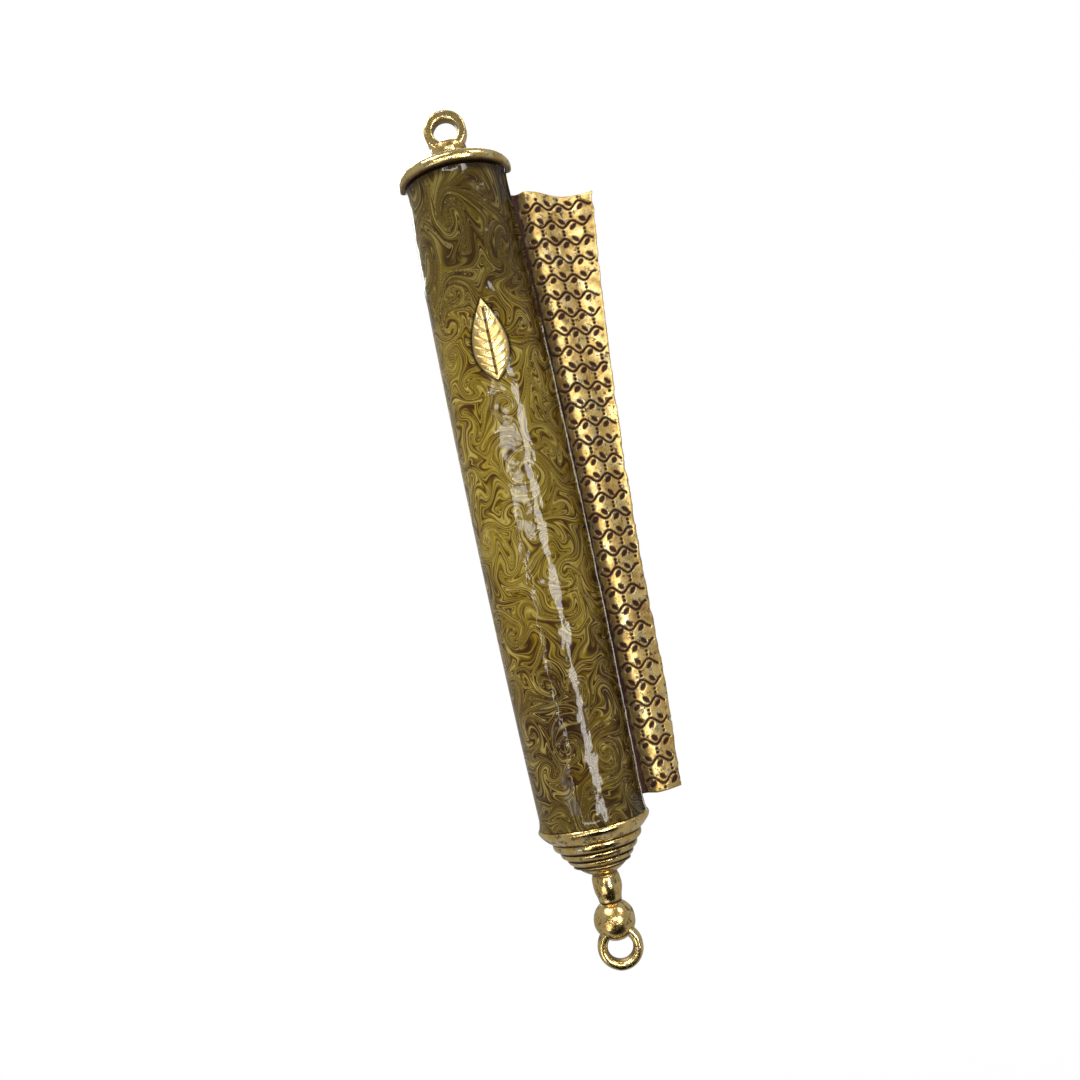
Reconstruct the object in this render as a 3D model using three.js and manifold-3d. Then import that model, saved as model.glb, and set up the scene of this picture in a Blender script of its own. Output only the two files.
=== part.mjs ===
// A mezuzah case: a half-round cast barrel with a marbled enamel coat, a scroll wing on its right,
// turned-looking caps, a hanging ring at each end, and a lift-off back plate over the rolled parchment.
// Millimetres. X is the width, +Y points into the doorpost, and Z runs up the case.
// The flat back lies in the plane Y = 0. The origin is on the back face of the bottom end cap.

import * as THREE from 'three';
import { mergeVertices } from 'three/addons/utils/BufferGeometryUtils.js';
import Module from 'manifold-3d';

// ---- Driving dimensions ----

// The barrel's outside, measured over the enamel. It swells slightly in the middle.
const barrel = {
  bottom: 1.2,
  top: 96.1,
  radius: 8.15,
  widestAt: 47,
  lossAtBottom: 0.6,
  lossAtTop: 0.74,
};
const wall = 1.15;
const rim = { height: 1.0 };
const enamel = {
  recess: 0.5,
  thickness: 0.4,
  bottomGap: 0.3,
  topGap: 0.7,
  leftEdge: 1.1,
  rightEdge: 2.75,
};

const plate = {
  halfWidth: 6.75,
  thickness: 0.6,
  endGap: 0.15,
  sideGap: 0.15,
  cornerRadius: 0.8,
  notchRadius: 1.6,
};

const sleeve = { radius: 2.6, thickness: 0.15, bottom: 10.5, top: 83.5, axisDepth: 3.3 };
const scroll = { radius: 2.3, coreRadius: 0.85, pitch: 0.42, thickness: 0.28, bottom: 12, length: 70 };

const wing = {
  seatX: 5,
  rootX: 7.7,
  rootHeight: 2.45,
  crownX: 9.9,
  crownHeight: 4.2,
  thickness: 1.15,
  troughX: 15.5,
  troughAtFoot: 1.2,
  troughAtTip: 1.6,
  troughRisesFrom: 40,
  edgeRise: 0.075,
};
// The wing's outer edge, as [height up the case, distance from the barrel's axis].
const wingEdge = [[3.4, 13.2], [17, 14.2], [34, 14.7], [62, 16.4], [77, 17.8], [90.2, 19.4]];
const wingTop = { atRoot: 91.8, atTip: 89.9, dip: 0.35 };

const ring = { radius: 3.22, holeRadius: 1.8, thickness: 1.95, edge: 0.35 };
const topRingZ = 103.8;
const bottomRingZ = -16.78;

// The cap's rim and dome, as [distance in from the brim, height over the cap's base].
const topCap = {
  brim: 8.5,
  height: 2.5,
  rim: [[0.35, 0.05], [0.1, 0.2], [0, 0.5], [0, 1.15], [0.12, 1.5], [0.38, 1.75]],
  dome: [[0.9, 1.95], [2.1, 2.25], [4.3, 2.5]],
};
const bottomCap = { bottom: -1.1, footRadius: 6.85, bulgeRadius: 0.75, bulgeX: 7.3 };
// Each ring stands flat on the casting beside it.
// The neck's foot is given as [distance out from its radius, height over its base].
const neck = {
  top: 102.3,
  radius: 2.6,
  foot: [[0.5, 0], [0.05, 0.6], [-0.05, 1.3], [0, 2.4]],
  shoulder: 0.4,
  shoulderLoss: 0.35,
};
// The cone's steps, as [radius, height of the step's top].
const cone = {
  tiers: [[6.4, -1.1], [5.55, -2.5], [4.75, -3.7], [4.1, -4.75]],
  lastGroove: -5.35,
  end: -6.35,
  endRadius: 2.0,
};
// The bead's side, as [radius, height over its foot].
const bead = {
  bottom: -10.55,
  side: [[1.66, 0], [1.9, 1.1], [2.05, 2.2], [1.95, 3.3]],
  topRadius: 1.8,
};
const ball = { radius: 2.95, z: -13.2, bottom: -15.1 };

const emblem = { z: 70, height: 12, halfWidth: 2.6, widestAt: 0.32, proud: 0.35, clearance: 0.28 };

const colour = {
  gold: 0xb98f4e,
  enamel: 0x4f4715,
  brass: 0xc2a468,
  parchment: 0xe6d8b4,
  film: 0xdfe6e8,
};

// ---- Solids ----

const wasm = await Module();
wasm.setup();

const roundSegments = 72;
const coneSegments = 64;
const finialSegments = 48;
const sleeveSegments = 40;
const barrelSteps = 10;
const farOff = 200;
const beyondBarrel = 12;

function closedMesh(geometry) {
  geometry.deleteAttribute('normal');
  geometry.deleteAttribute('uv');
  const merged = mergeVertices(geometry, 1e-4);
  const source = merged.index.array;
  const kept = [];
  for (let i = 0; i < source.length; i += 3) {
    const [a, b, c] = [source[i], source[i + 1], source[i + 2]];
    if (a !== b && b !== c && c !== a) kept.push(a, b, c);
  }
  merged.setIndex(kept);
  return merged;
}

function solid(geometry) {
  const mesh = closedMesh(geometry);
  return new wasm.Manifold(new wasm.Mesh({
    numProp: 3,
    vertProperties: new Float32Array(mesh.attributes.position.array),
    triVerts: new Uint32Array(mesh.index.array),
  }));
}

function geometryOf(manifold) {
  const mesh = manifold.getMesh();
  const geometry = new THREE.BufferGeometry();
  const places = new Float32Array(mesh.vertProperties);
  geometry.setAttribute('position', new THREE.BufferAttribute(places, 3));
  geometry.setIndex(new THREE.BufferAttribute(new Uint32Array(mesh.triVerts), 1));
  geometry.computeVertexNormals();
  return geometry;
}

// An upright box between two opposite corners.
function block(from, to) {
  const size = to.map((value, k) => value - from[k]);
  const middle = to.map((value, k) => (value + from[k]) / 2);
  return solid(new THREE.BoxGeometry(...size).translate(...middle));
}

// A full turn of [radius, z] points about the Z axis.
function turned(profile, segments = roundSegments) {
  const points = profile.map(([radius, z]) => new THREE.Vector2(radius, z));
  return new THREE.LatheGeometry(points, segments).rotateX(Math.PI / 2);
}

// The half of a turned solid that stands in front of the doorpost.
function halfTurned(profile, segments) {
  const front = block([-farOff, -farOff, -farOff], [farOff, 0, farOff]);
  return solid(turned(profile, segments)).intersect(front);
}

function evenly(from, to, steps) {
  return Array.from({ length: steps + 1 }, (_, i) => from + (to - from) * i / steps);
}

// A circular arc as [radius, z] points about a centre, from one angle to another in degrees.
function arc(centre, radius, fromAngle, toAngle, steps) {
  return evenly(fromAngle, toAngle, steps).map((degrees) => {
    const angle = THREE.MathUtils.degToRad(degrees);
    return [centre[0] + radius * Math.cos(angle), centre[1] + radius * Math.sin(angle)];
  });
}

// ---- Barrel ----

function barrelRadius(z) {
  const { radius, widestAt, bottom, top, lossAtBottom, lossAtTop } = barrel;
  if (z < widestAt) return radius - lossAtBottom * ((widestAt - z) / (widestAt - bottom)) ** 2;
  return radius - lossAtTop * ((z - widestAt) / (top - widestAt)) ** 3;
}

// A full-round tube that follows the barrel, between two offsets from its outside.
function barrelTube(inner, outer, bottom, top) {
  const heights = evenly(bottom, top, barrelSteps);
  const outside = heights.map((z) => [barrelRadius(z) + outer, z]);
  const inside = heights.map((z) => [barrelRadius(z) + inner, z]).reverse();
  return solid(turned([...outside, ...inside, outside[0]]));
}

function barrelCavity() {
  const heights = evenly(barrel.bottom, barrel.top, barrelSteps);
  const side = heights.map((z) => [barrelRadius(z) - enamel.recess - wall, z]);
  return solid(turned([[0, barrel.bottom], ...side, [0, barrel.top]]));
}

function barrelShell() {
  const { bottom, top } = barrel;
  const front = block([-farOff, -farOff, -farOff], [farOff, 0, farOff]);
  const body = barrelTube(-enamel.recess - wall, -enamel.recess, bottom, top).intersect(front);
  const rimBand = barrelTube(-enamel.recess - wall, 0, bottom, top)
    .intersect(block([-farOff, -rim.height, -farOff], [farOff, 0, farOff]));
  const seat = block([wing.seatX, -wing.rootHeight, wingEdge[0][0]], [wing.rootX, 0, wingTop.atRoot])
    .subtract(barrelCavity());
  const rebateHalf = plate.halfWidth + plate.sideGap;
  const rebate = block([-rebateHalf, -plate.thickness, -farOff], [rebateHalf, farOff, farOff]);
  return geometryOf(body.add(rimBand).add(seat).subtract(rebate));
}

function enamelCoat() {
  const from = barrel.bottom + enamel.bottomGap;
  const to = barrel.top - enamel.topGap;
  const left = block([-farOff, -farOff, -farOff], [0, -enamel.leftEdge, farOff]);
  const right = block([0, -farOff, -farOff], [farOff, -enamel.rightEdge, farOff]);
  const coat = barrelTube(-enamel.thickness, 0, from, to).intersect(left.add(right));
  return geometryOf(coat.subtract(emblemPrism(emblem.clearance)));
}

// ---- Emblem: a single upright leaf ----

// The leaf's outline seen from the front, grown on every side and carried through the barrel's wall.
function emblemPrism(grow) {
  const foot = emblem.z - emblem.height / 2 - 2 * grow;
  const tip = emblem.z + emblem.height / 2 + 2 * grow;
  const bulgeX = 2 * (emblem.halfWidth + grow);
  const bulgeZ = foot + (tip - foot) * emblem.widestAt;
  const outline = new THREE.Shape();
  outline.moveTo(0, foot);
  outline.quadraticCurveTo(bulgeX, bulgeZ, 0, tip);
  outline.quadraticCurveTo(-bulgeX, bulgeZ, 0, foot);
  const options = { depth: beyondBarrel, bevelEnabled: false, curveSegments: 16 };
  return solid(new THREE.ExtrudeGeometry(outline, options).rotateX(Math.PI / 2));
}

function leafEmblem() {
  const { z, height, proud } = emblem;
  const relief = barrelTube(-enamel.thickness, proud, z - height, z + height);
  return geometryOf(relief.intersect(emblemPrism(0)));
}

// ---- Wing: an unrolled end of scroll that rises to a crown and falls to its outer edge ----

// The wing's outer edge at a height, on a smooth curve through its knots.
function edgeX(z) {
  const last = wingEdge.length - 1;
  const next = Math.max(1, wingEdge.findIndex(([knot], i) => i > 0 && (z <= knot || i === last)));
  const [z0, x0] = wingEdge[next - 1];
  const [z1, x1] = wingEdge[next];
  const slope = (i) => {
    const [za, xa] = wingEdge[Math.max(0, i - 1)];
    const [zb, xb] = wingEdge[Math.min(last, i + 1)];
    return (xb - xa) / (zb - za);
  };
  const step = z1 - z0;
  const t = THREE.MathUtils.clamp((z - z0) / step, 0, 1);
  const bent = slope(next - 1) * step * t * (1 - t) ** 2 - slope(next) * step * t * t * (1 - t);
  return x0 + (x1 - x0) * t * t * (3 - 2 * t) + bent;
}

// Height of the wing's top face over the back plane.
function wingHeight(x, z) {
  const { rootX, rootHeight, crownX, crownHeight, troughX, troughAtFoot, troughAtTip } = wing;
  if (x < crownX) {
    const climb = THREE.MathUtils.smootherstep(x, rootX, crownX);
    return THREE.MathUtils.lerp(rootHeight, crownHeight, climb);
  }
  const curl = THREE.MathUtils.smoothstep(z, wing.troughRisesFrom, wingTop.atTip);
  const trough = THREE.MathUtils.lerp(troughAtFoot, troughAtTip, curl);
  const fall = Math.min(1, (x - crownX) / (troughX - crownX));
  const rise = wing.edgeRise * Math.max(0, x - troughX) ** 2;
  return trough + (crownHeight - trough) * (1 + Math.cos(Math.PI * fall)) / 2 + rise;
}

function scrollWing() {
  const across = 16;
  const along = 26;
  const positions = [];
  const face = [[], []];
  for (const side of [0, 1]) {
    for (let i = 0; i <= across; i += 1) {
      const u = i / across;
      const chord = THREE.MathUtils.lerp(wingTop.atRoot, wingTop.atTip, u);
      const topZ = chord - wingTop.dip * Math.sin(Math.PI * u);
      for (let j = 0; j <= along; j += 1) {
        const z = THREE.MathUtils.lerp(wingEdge[0][0], topZ, j / along);
        const x = THREE.MathUtils.lerp(wing.rootX, edgeX(z), u);
        face[side].push(positions.length / 3);
        positions.push(x, side * wing.thickness - wingHeight(x, z), z);
      }
    }
  }
  const at = (side, i, j) => face[side][i * (along + 1) + j];
  const index = [];
  const quad = (a, b, c, d) => index.push(a, b, c, a, c, d);
  for (let i = 0; i < across; i += 1) {
    for (let j = 0; j < along; j += 1) {
      quad(at(0, i, j), at(0, i + 1, j), at(0, i + 1, j + 1), at(0, i, j + 1));
      quad(at(1, i, j), at(1, i, j + 1), at(1, i + 1, j + 1), at(1, i + 1, j));
    }
    quad(at(0, i, 0), at(1, i, 0), at(1, i + 1, 0), at(0, i + 1, 0));
    quad(at(0, i, along), at(0, i + 1, along), at(1, i + 1, along), at(1, i, along));
  }
  for (let j = 0; j < along; j += 1) {
    quad(at(0, 0, j), at(0, 0, j + 1), at(1, 0, j + 1), at(1, 0, j));
    quad(at(0, across, j), at(1, across, j), at(1, across, j + 1), at(0, across, j + 1));
  }
  const geometry = new THREE.BufferGeometry();
  geometry.setAttribute('position', new THREE.Float32BufferAttribute(positions, 3));
  geometry.setIndex(index);
  geometry.computeVertexNormals();
  return geometry;
}

// ---- Caps and finials ----

function topEndCap() {
  const { brim, height, rim: rimPoints, dome } = topCap;
  const side = [...rimPoints, ...dome].map(([inwards, z]) => [brim - inwards, z]);
  const profile = [[0, 0], ...side, [0, height]];
  return geometryOf(halfTurned(profile.map(([radius, z]) => [radius, barrel.top + z])));
}

function topNeck() {
  const base = barrel.top + topCap.height;
  const { top, radius, foot, shoulder, shoulderLoss } = neck;
  const side = foot.map(([outwards, z]) => [radius + outwards, base + z]);
  const head = [[radius, top - shoulder], [radius - shoulderLoss, top], [0, top]];
  return geometryOf(halfTurned([[0, base], ...side, ...head], finialSegments));
}

function bottomEndCap() {
  const top = barrel.bottom;
  const { bottom, footRadius, bulgeRadius, bulgeX } = bottomCap;
  const bulge = arc([bulgeX, top - bulgeRadius], bulgeRadius, -40, 90, 6);
  return geometryOf(halfTurned([[0, bottom], [footRadius, bottom], ...bulge, [0, top]]));
}

function steppedCone() {
  const { tiers, lastGroove, end, endRadius } = cone;
  const profile = [[0, tiers[0][1]]];
  tiers.forEach(([radius, z], i) => {
    const below = i + 1 < tiers.length ? tiers[i + 1][1] : lastGroove;
    profile.push([radius - 0.2, z], [radius, z - 0.25]);
    profile.push([radius - 0.12, below + 0.5], [radius - 0.62, below]);
  });
  profile.push([endRadius + 0.6, end + 0.35], [endRadius, end], [0, end]);
  return geometryOf(halfTurned(profile.reverse(), coneSegments));
}

function finialBead() {
  const { bottom, topRadius } = bead;
  const top = cone.end;
  const side = bead.side.map(([radius, z]) => [radius, bottom + z]);
  const profile = [[0, bottom], ...side, [topRadius, top], [0, top]];
  return geometryOf(halfTurned(profile, finialSegments));
}

function finialBall() {
  const { radius, z, bottom } = ball;
  const top = bead.bottom;
  const angleAt = (height) => THREE.MathUtils.radToDeg(Math.asin((height - z) / radius));
  const side = arc([0, z], radius, angleAt(bottom), angleAt(top), 14);
  return geometryOf(halfTurned([[0, bottom], ...side, [0, top]], finialSegments));
}

// A flat-backed eye with rounded edges, cut flat where it stands on its foot.
function hangingRing(centreZ, keptFrom, keptTo) {
  const { radius, holeRadius, thickness, edge } = ring;
  const profile = [
    [holeRadius, 0], [radius - edge, 0], [radius, edge], [radius, thickness - 2 * edge],
    [radius - edge, thickness - edge / 2], [radius - 2 * edge, thickness],
    [holeRadius + edge, thickness], [holeRadius, thickness - edge], [holeRadius, 0],
  ];
  const eye = solid(turned(profile, finialSegments).rotateX(Math.PI / 2).translate(0, 0, centreZ));
  return geometryOf(eye.intersect(block([-farOff, -farOff, keptFrom], [farOff, farOff, keptTo])));
}

// ---- Back plate and parchment ----

function backPlate() {
  const { halfWidth, endGap, thickness, cornerRadius, notchRadius } = plate;
  const low = barrel.bottom + endGap;
  const high = barrel.top - endGap;
  const r = cornerRadius;
  const shape = new THREE.Shape();
  shape.moveTo(notchRadius, low);
  shape.lineTo(halfWidth - r, low);
  shape.absarc(halfWidth - r, low + r, r, -Math.PI / 2, 0);
  shape.absarc(halfWidth - r, high - r, r, 0, Math.PI / 2);
  shape.absarc(r - halfWidth, high - r, r, Math.PI / 2, Math.PI);
  shape.absarc(r - halfWidth, low + r, r, Math.PI, 1.5 * Math.PI);
  shape.lineTo(-notchRadius, low);
  shape.absarc(0, low, notchRadius, Math.PI, 0, true);
  const options = { depth: thickness, bevelEnabled: false, curveSegments: 8 };
  return new THREE.ExtrudeGeometry(shape, options).rotateX(Math.PI / 2);
}

// The parchment is one strip rolled into a spiral about its own upright axis.
function parchmentRoll() {
  const { radius, coreRadius, pitch, thickness, bottom, length } = scroll;
  const turns = (radius - coreRadius) / pitch;
  const steps = Math.round(turns * 18);
  const edge = (offset) => evenly(0, turns, steps).map((turn) => {
    const angle = 2 * Math.PI * turn;
    const r = coreRadius + pitch * turn - offset;
    return new THREE.Vector2(r * Math.cos(angle), r * Math.sin(angle));
  });
  const shape = new THREE.Shape([...edge(0), ...edge(thickness).reverse()]);
  return new THREE.ExtrudeGeometry(shape, { depth: length, bevelEnabled: false })
    .translate(0, -sleeve.axisDepth, bottom);
}

function parchmentSleeve() {
  const { radius, thickness, bottom, top, axisDepth } = sleeve;
  const inner = radius - thickness;
  const profile = [[radius, bottom], [radius, top], [inner, top], [inner, bottom], [radius, bottom]];
  return turned(profile, sleeveSegments).translate(0, -axisDepth, 0);
}

// ---- Assembly ----

function piece(name, geometry, color, roughness, metalness) {
  const material = new THREE.MeshStandardMaterial({ color, roughness, metalness });
  const mesh = new THREE.Mesh(geometry, material);
  mesh.name = name;
  return mesh;
}

const group = new THREE.Group();
group.name = 'mezuzah_case';
const gold = (name, geometry) => group.add(piece(name, geometry, colour.gold, 0.35, 1));

gold('barrel_shell', barrelShell());
group.add(piece('enamel_coat', enamelCoat(), colour.enamel, 0.08, 0));
gold('leaf_emblem', leafEmblem());
gold('scroll_wing', scrollWing());
gold('top_end_cap', topEndCap());
gold('top_neck', topNeck());
gold('top_ring', hangingRing(topRingZ, neck.top, farOff));
gold('bottom_end_cap', bottomEndCap());
gold('stepped_cone', steppedCone());
gold('finial_bead', finialBead());
gold('finial_ball', finialBall());
gold('bottom_ring', hangingRing(bottomRingZ, -farOff, ball.bottom));

group.add(piece('back_plate', backPlate(), colour.brass, 0.4, 1));
group.add(piece('parchment_roll', parchmentRoll(), colour.parchment, 0.8, 0));
group.add(piece('parchment_sleeve', parchmentSleeve(), colour.film, 0.15, 0));

export default group;
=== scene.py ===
import math

import bmesh
import bpy
import numpy as np
from mathutils import Matrix, Vector


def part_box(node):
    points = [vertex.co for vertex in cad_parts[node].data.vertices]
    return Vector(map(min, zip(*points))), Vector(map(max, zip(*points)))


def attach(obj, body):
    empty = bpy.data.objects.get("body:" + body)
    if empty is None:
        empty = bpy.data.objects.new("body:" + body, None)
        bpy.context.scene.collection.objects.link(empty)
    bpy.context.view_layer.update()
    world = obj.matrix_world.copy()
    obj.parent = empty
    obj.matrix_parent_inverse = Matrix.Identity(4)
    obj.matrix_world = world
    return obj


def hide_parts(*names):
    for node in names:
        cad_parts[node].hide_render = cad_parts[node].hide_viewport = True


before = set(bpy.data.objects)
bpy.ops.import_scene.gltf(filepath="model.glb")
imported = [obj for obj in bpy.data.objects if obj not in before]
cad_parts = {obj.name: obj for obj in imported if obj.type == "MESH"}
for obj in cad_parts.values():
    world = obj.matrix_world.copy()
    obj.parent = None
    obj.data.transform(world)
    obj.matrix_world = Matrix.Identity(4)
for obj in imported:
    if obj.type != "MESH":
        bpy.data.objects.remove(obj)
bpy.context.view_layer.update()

# The shapes below are worked out in millimetres in the row's frame: X to the viewer's right, +Y into the
# doorpost, Z up. "Depth" is the distance in front of the doorpost, so y = -depth. MM turns them into metres.
MM = 0.001


def box(node):
    low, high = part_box(node)
    return np.array(low) / MM, np.array(high) / MM


# ---- Driving dimensions, from the frame where it has them ----

SHELL_LOW, SHELL_HIGH = box("barrel_shell")
BARREL_BOTTOM, BARREL_TOP = SHELL_LOW[2], SHELL_HIGH[2]
BARREL_RADIUS, WIDEST_Z = 8.15, 47.0
LOSS_BOTTOM, LOSS_TOP = 0.6, 0.74
ENAMEL_RECESS, WALL = 0.5, 1.15
RIM_HEIGHT = 1.0
ENAMEL_LEFT_DEPTH, ENAMEL_RIGHT_DEPTH = 1.1, 2.75

WING_LOW, WING_HIGH = box("scroll_wing")
WING_ROOT_X, WING_ROOT_DEPTH = WING_LOW[0], 2.45
WING_CROWN_X, WING_CROWN_DEPTH = 9.9, 4.2
WING_TROUGH_X, WING_THICKNESS = 15.5, 1.15
WING_EDGE = [(3.4, 13.2), (17.0, 14.2), (34.0, 14.7), (62.0, 16.4), (77.0, 17.8), (90.2, 19.4)]
WING_TOP_ROOT, WING_TOP_TIP = WING_HIGH[2], 89.9

EMBLEM_LOW, EMBLEM_HIGH = box("leaf_emblem")
EMBLEM_PROUD = 0.35

RINGS = {"top_ring": 103.8, "bottom_ring": -16.78}
RING_RADIUS, RING_HOLE, RING_THICKNESS = 3.22, 1.8, 1.95
BALL_Z = -13.2

PLATE_LOW, PLATE_HIGH = box("back_plate")
ROLL_LOW, ROLL_HIGH = box("parchment_roll")
SLEEVE_LOW, SLEEVE_HIGH = box("parchment_sleeve")

# The camera looks level at a point 29 mm up the case from 159 mm in front of the doorpost, and is then tipped
# up to the case's middle and rolled, so that the case leans.
CAMERA_PLACE = (1.0, -159.3, 29.4)
CAMERA_TIP = math.atan(84 / 1100)
CAMERA_ROLL = math.radians(12.2)
CAMERA_LENS, CAMERA_SENSOR = 36.67, 36.0

FLOOR_RADIUS, FLOOR_DROP = 1.2, 0.5


# ---- Repeatable noise ----

def lattice(cells, seed):
    """Values from 0 to 1 at whole-number points."""
    key = cells[..., 0] * 73856093 ^ cells[..., 1] * 19349663 ^ cells[..., 2] * 83492791 ^ (seed * 9176263)
    key = (key ^ (key >> 13)) * 1274126177 & 0xFFFFFFFF
    key = (key ^ (key >> 15)) * 2246822519 & 0xFFFFFFFF
    return ((key ^ (key >> 16)) & 0xFFFF) / 65535.0


def noise(points, size, seed=0, octaves=3):
    """Smooth noise from -1 to 1 with features of about this size, in millimetres."""
    total, amplitude, reach = 0.0, 1.0, 0.0
    for octave in range(octaves):
        scaled = np.asarray(points) / (size * 0.5**octave)
        whole = np.floor(scaled)
        part = scaled - whole
        part = part * part * (3 - 2 * part)
        cells = whole.astype(np.int64)
        value = 0.0
        for corner in np.ndindex(2, 2, 2):
            corner = np.array(corner)
            weight = np.prod(np.where(corner == 1, part, 1 - part), axis=-1)
            value = value + weight * lattice(cells + corner, seed + 17 * octave)
        total = total + amplitude * (2 * value - 1)
        reach += amplitude
        amplitude *= 0.5
    return total / reach


def smoothstep(value, low, high):
    t = np.clip((value - low) / (high - low), 0, 1)
    return t * t * (3 - 2 * t)


def spline(points, per_span=8):
    """A smooth line through the points. A point given twice in a row is a sharp corner."""
    points = [np.array(p, float) for p in points]
    line = []
    for i in range(len(points) - 1):
        a, b = points[i], points[i + 1]
        if np.allclose(a, b):
            continue
        before = a if i == 0 or np.allclose(points[i - 1], a) else points[i - 1]
        after = b if i + 2 >= len(points) or np.allclose(points[i + 2], b) else points[i + 2]
        reach = np.linalg.norm(b - a)
        slope_a = (b - before) / max(np.linalg.norm(b - before), 1e-9) * reach
        slope_b = (after - a) / max(np.linalg.norm(after - a), 1e-9) * reach
        for t in np.linspace(0, 1, per_span, endpoint=False):
            line.append(
                a * (2 * t**3 - 3 * t**2 + 1) + slope_a * (t**3 - 2 * t**2 + t)
                + b * (3 * t**2 - 2 * t**3) + slope_b * (t**3 - t**2)
            )
    line.append(points[-1])
    return np.array(line)


def curve_through(knots, at):
    """Values at these places on the smooth curve through (place, value) knots."""
    places, values = np.array(knots, float).T
    slopes = np.gradient(values, places)
    k = np.clip(np.searchsorted(places, at, side="right") - 1, 0, len(places) - 2)
    step = places[k + 1] - places[k]
    t = np.clip((at - places[k]) / step, 0, 1)
    bend = slopes[k] * step * t * (1 - t) ** 2 - slopes[k + 1] * step * t * t * (1 - t)
    return values[k] + (values[k + 1] - values[k]) * t * t * (3 - 2 * t) + bend


# ---- Mesh building ----

def grid_faces(index):
    """The quads of a grid of vertex numbers."""
    corners = (index[:-1, :-1], index[:-1, 1:], index[1:, 1:], index[1:, :-1])
    return np.stack([c.ravel() for c in corners], axis=1).tolist()


def border(index):
    """The vertex numbers around a grid, once round, as four sides."""
    return [index[0, :], index[:, -1], index[-1, ::-1], index[::-1, 0]]


def sheet_mesh(outer, inner, step):
    """Vertices and faces of a closed body.

    It has a fine outer grid, a coarse inner grid with every step-th point, and the walls between them.
    """
    rows, columns = outer.shape[:2]
    outer_index = np.arange(rows * columns).reshape(rows, columns)
    inner_index = rows * columns + np.arange(inner.shape[0] * inner.shape[1]).reshape(inner.shape[:2])
    faces = grid_faces(outer_index) + grid_faces(inner_index)
    for fine, coarse in zip(border(outer_index), border(inner_index)):
        for k in range(len(coarse) - 1):
            edge = fine[k * step:(k + 1) * step + 1].tolist()
            faces.append(edge + [int(coarse[k + 1]), int(coarse[k])])
    return np.concatenate([outer.reshape(-1, 3), inner.reshape(-1, 3)]), faces


def coarse(grid, step):
    return grid[::step, ::step]


def loft_mesh(loops):
    """Vertices and faces of a closed body through closed loops that have the same number of points."""
    count, around = loops.shape[:2]
    index = np.arange(count * around).reshape(count, around)
    faces = grid_faces(np.concatenate([index, index[:, :1]], axis=1))
    faces += [index[0, ::-1].tolist(), index[-1].tolist()]
    return loops.reshape(-1, 3), faces


def build(name, mesh_data, values=None, sharp=38):
    """A smooth-shaded object. values are numbers per vertex, kept as named attributes."""
    points, faces = mesh_data
    mesh = bpy.data.meshes.new(name)
    mesh.from_pydata((points * MM).tolist(), [], faces)
    for key, numbers in (values or {}).items():
        numbers = np.asarray(numbers, np.float32)
        kind = "FLOAT" if numbers.ndim == 1 else "FLOAT_VECTOR"
        layer = mesh.attributes.new(key, kind, "POINT")
        layer.data.foreach_set("value" if numbers.ndim == 1 else "vector", numbers.ravel())
    work = bmesh.new()
    work.from_mesh(mesh)
    bmesh.ops.remove_doubles(work, verts=work.verts, dist=2e-6)
    bmesh.ops.dissolve_degenerate(work, edges=work.edges, dist=1e-7)
    bmesh.ops.recalc_face_normals(work, faces=work.faces)
    work.to_mesh(mesh)
    work.free()
    mesh.polygons.foreach_set("use_smooth", np.ones(len(mesh.polygons), bool))
    mesh.set_sharp_from_angle(angle=math.radians(sharp))
    piece = bpy.data.objects.new(name, mesh)
    bpy.context.scene.collection.objects.link(piece)
    return piece


def place(piece, body, slot, material, *nodes):
    piece.data.materials.append(material)
    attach(piece, body)
    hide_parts(*nodes)
    return piece


# ---- Materials ----

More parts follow.
